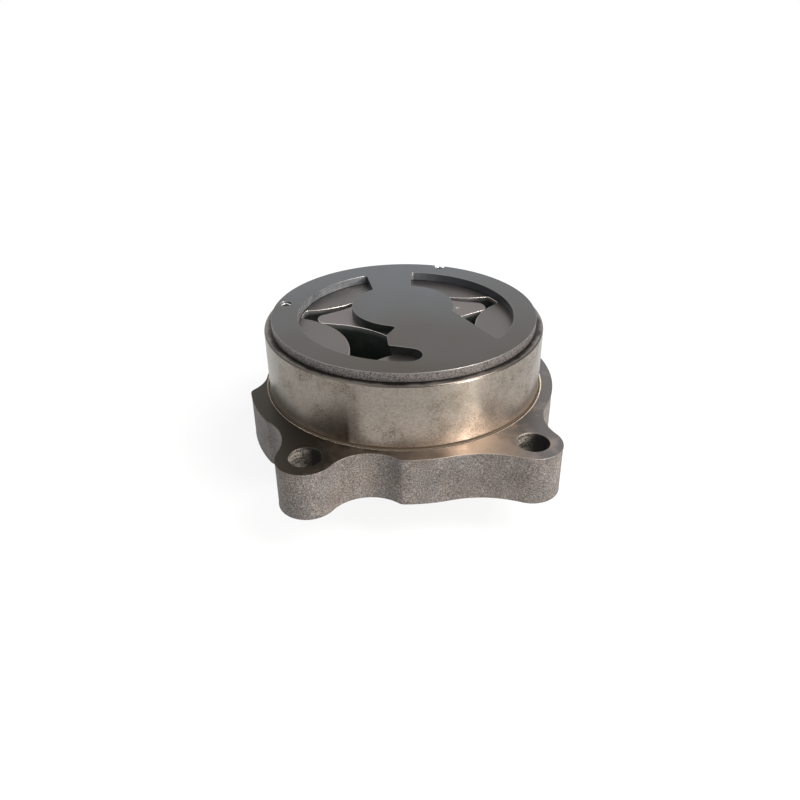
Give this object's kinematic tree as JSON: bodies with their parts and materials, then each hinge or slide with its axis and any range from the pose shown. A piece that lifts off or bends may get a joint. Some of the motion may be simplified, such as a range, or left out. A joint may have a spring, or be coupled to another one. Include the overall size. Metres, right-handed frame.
{
  "type": "engine oil pump",
  "caption": "Gerotor engine oil pump: cast flanged body with a turned pilot, a steel port plate on its end, meshing rotors in an offset pocket and a keyed drive gear under the flange.",
  "frame": {"origin": "on the pilot's axis, in the plane of the flange face that seats on the engine block", "axes": "+Z along the pilot towards the port plate; X and Y along the sides of the bolt rectangle, with the suction port on the -X side"},
  "size_m": [0.0895, 0.0966, 0.0488],
  "materials": {
    "cast_iron_body": "as-cast flange sides, turned pilot and seat",
    "ground_steel": "satin ground",
    "sintered_steel": "ground end faces",
    "spring_steel": "bright",
    "bearing_bronze": "bored",
    "shaft_steel": "ground",
    "gear_steel": "machined",
    "phosphated_steel": "dark phosphate"
  },
  "bodies": {
    "housing": {"pump_body": "cast_iron_body", "port_plate": "ground_steel", "left_plate_pin": "spring_steel", "rear_plate_pin": "spring_steel", "shaft_bush": "bearing_bronze", "thrust_washer": "spring_steel"},
    "drive": {"drive_shaft": "shaft_steel", "inner_rotor": "sintered_steel", "rotor_cross_pin": "shaft_steel", "drive_gear": "gear_steel", "gear_key": "shaft_steel", "gear_clip": "phosphated_steel"},
    "ring": {"outer_rotor": "sintered_steel"}
  },
  "joints": [
    {"name": "drive_spin", "type": "hinge", "parent": "housing", "child": "drive", "pos_m": [0.00025, 0.00435, 0], "axis": [0, 0, 1], "continuous": true},
    {"name": "outer_rotor_spin", "type": "hinge", "parent": "housing", "child": "ring", "pos_m": [0.00055, -0.00074, 0], "axis": [0, 0, 1], "continuous": true}
  ],
  "couplings": [
    {"joint": "outer_rotor_spin", "follows": "drive_spin", "ratio": 0.8}
  ]
}
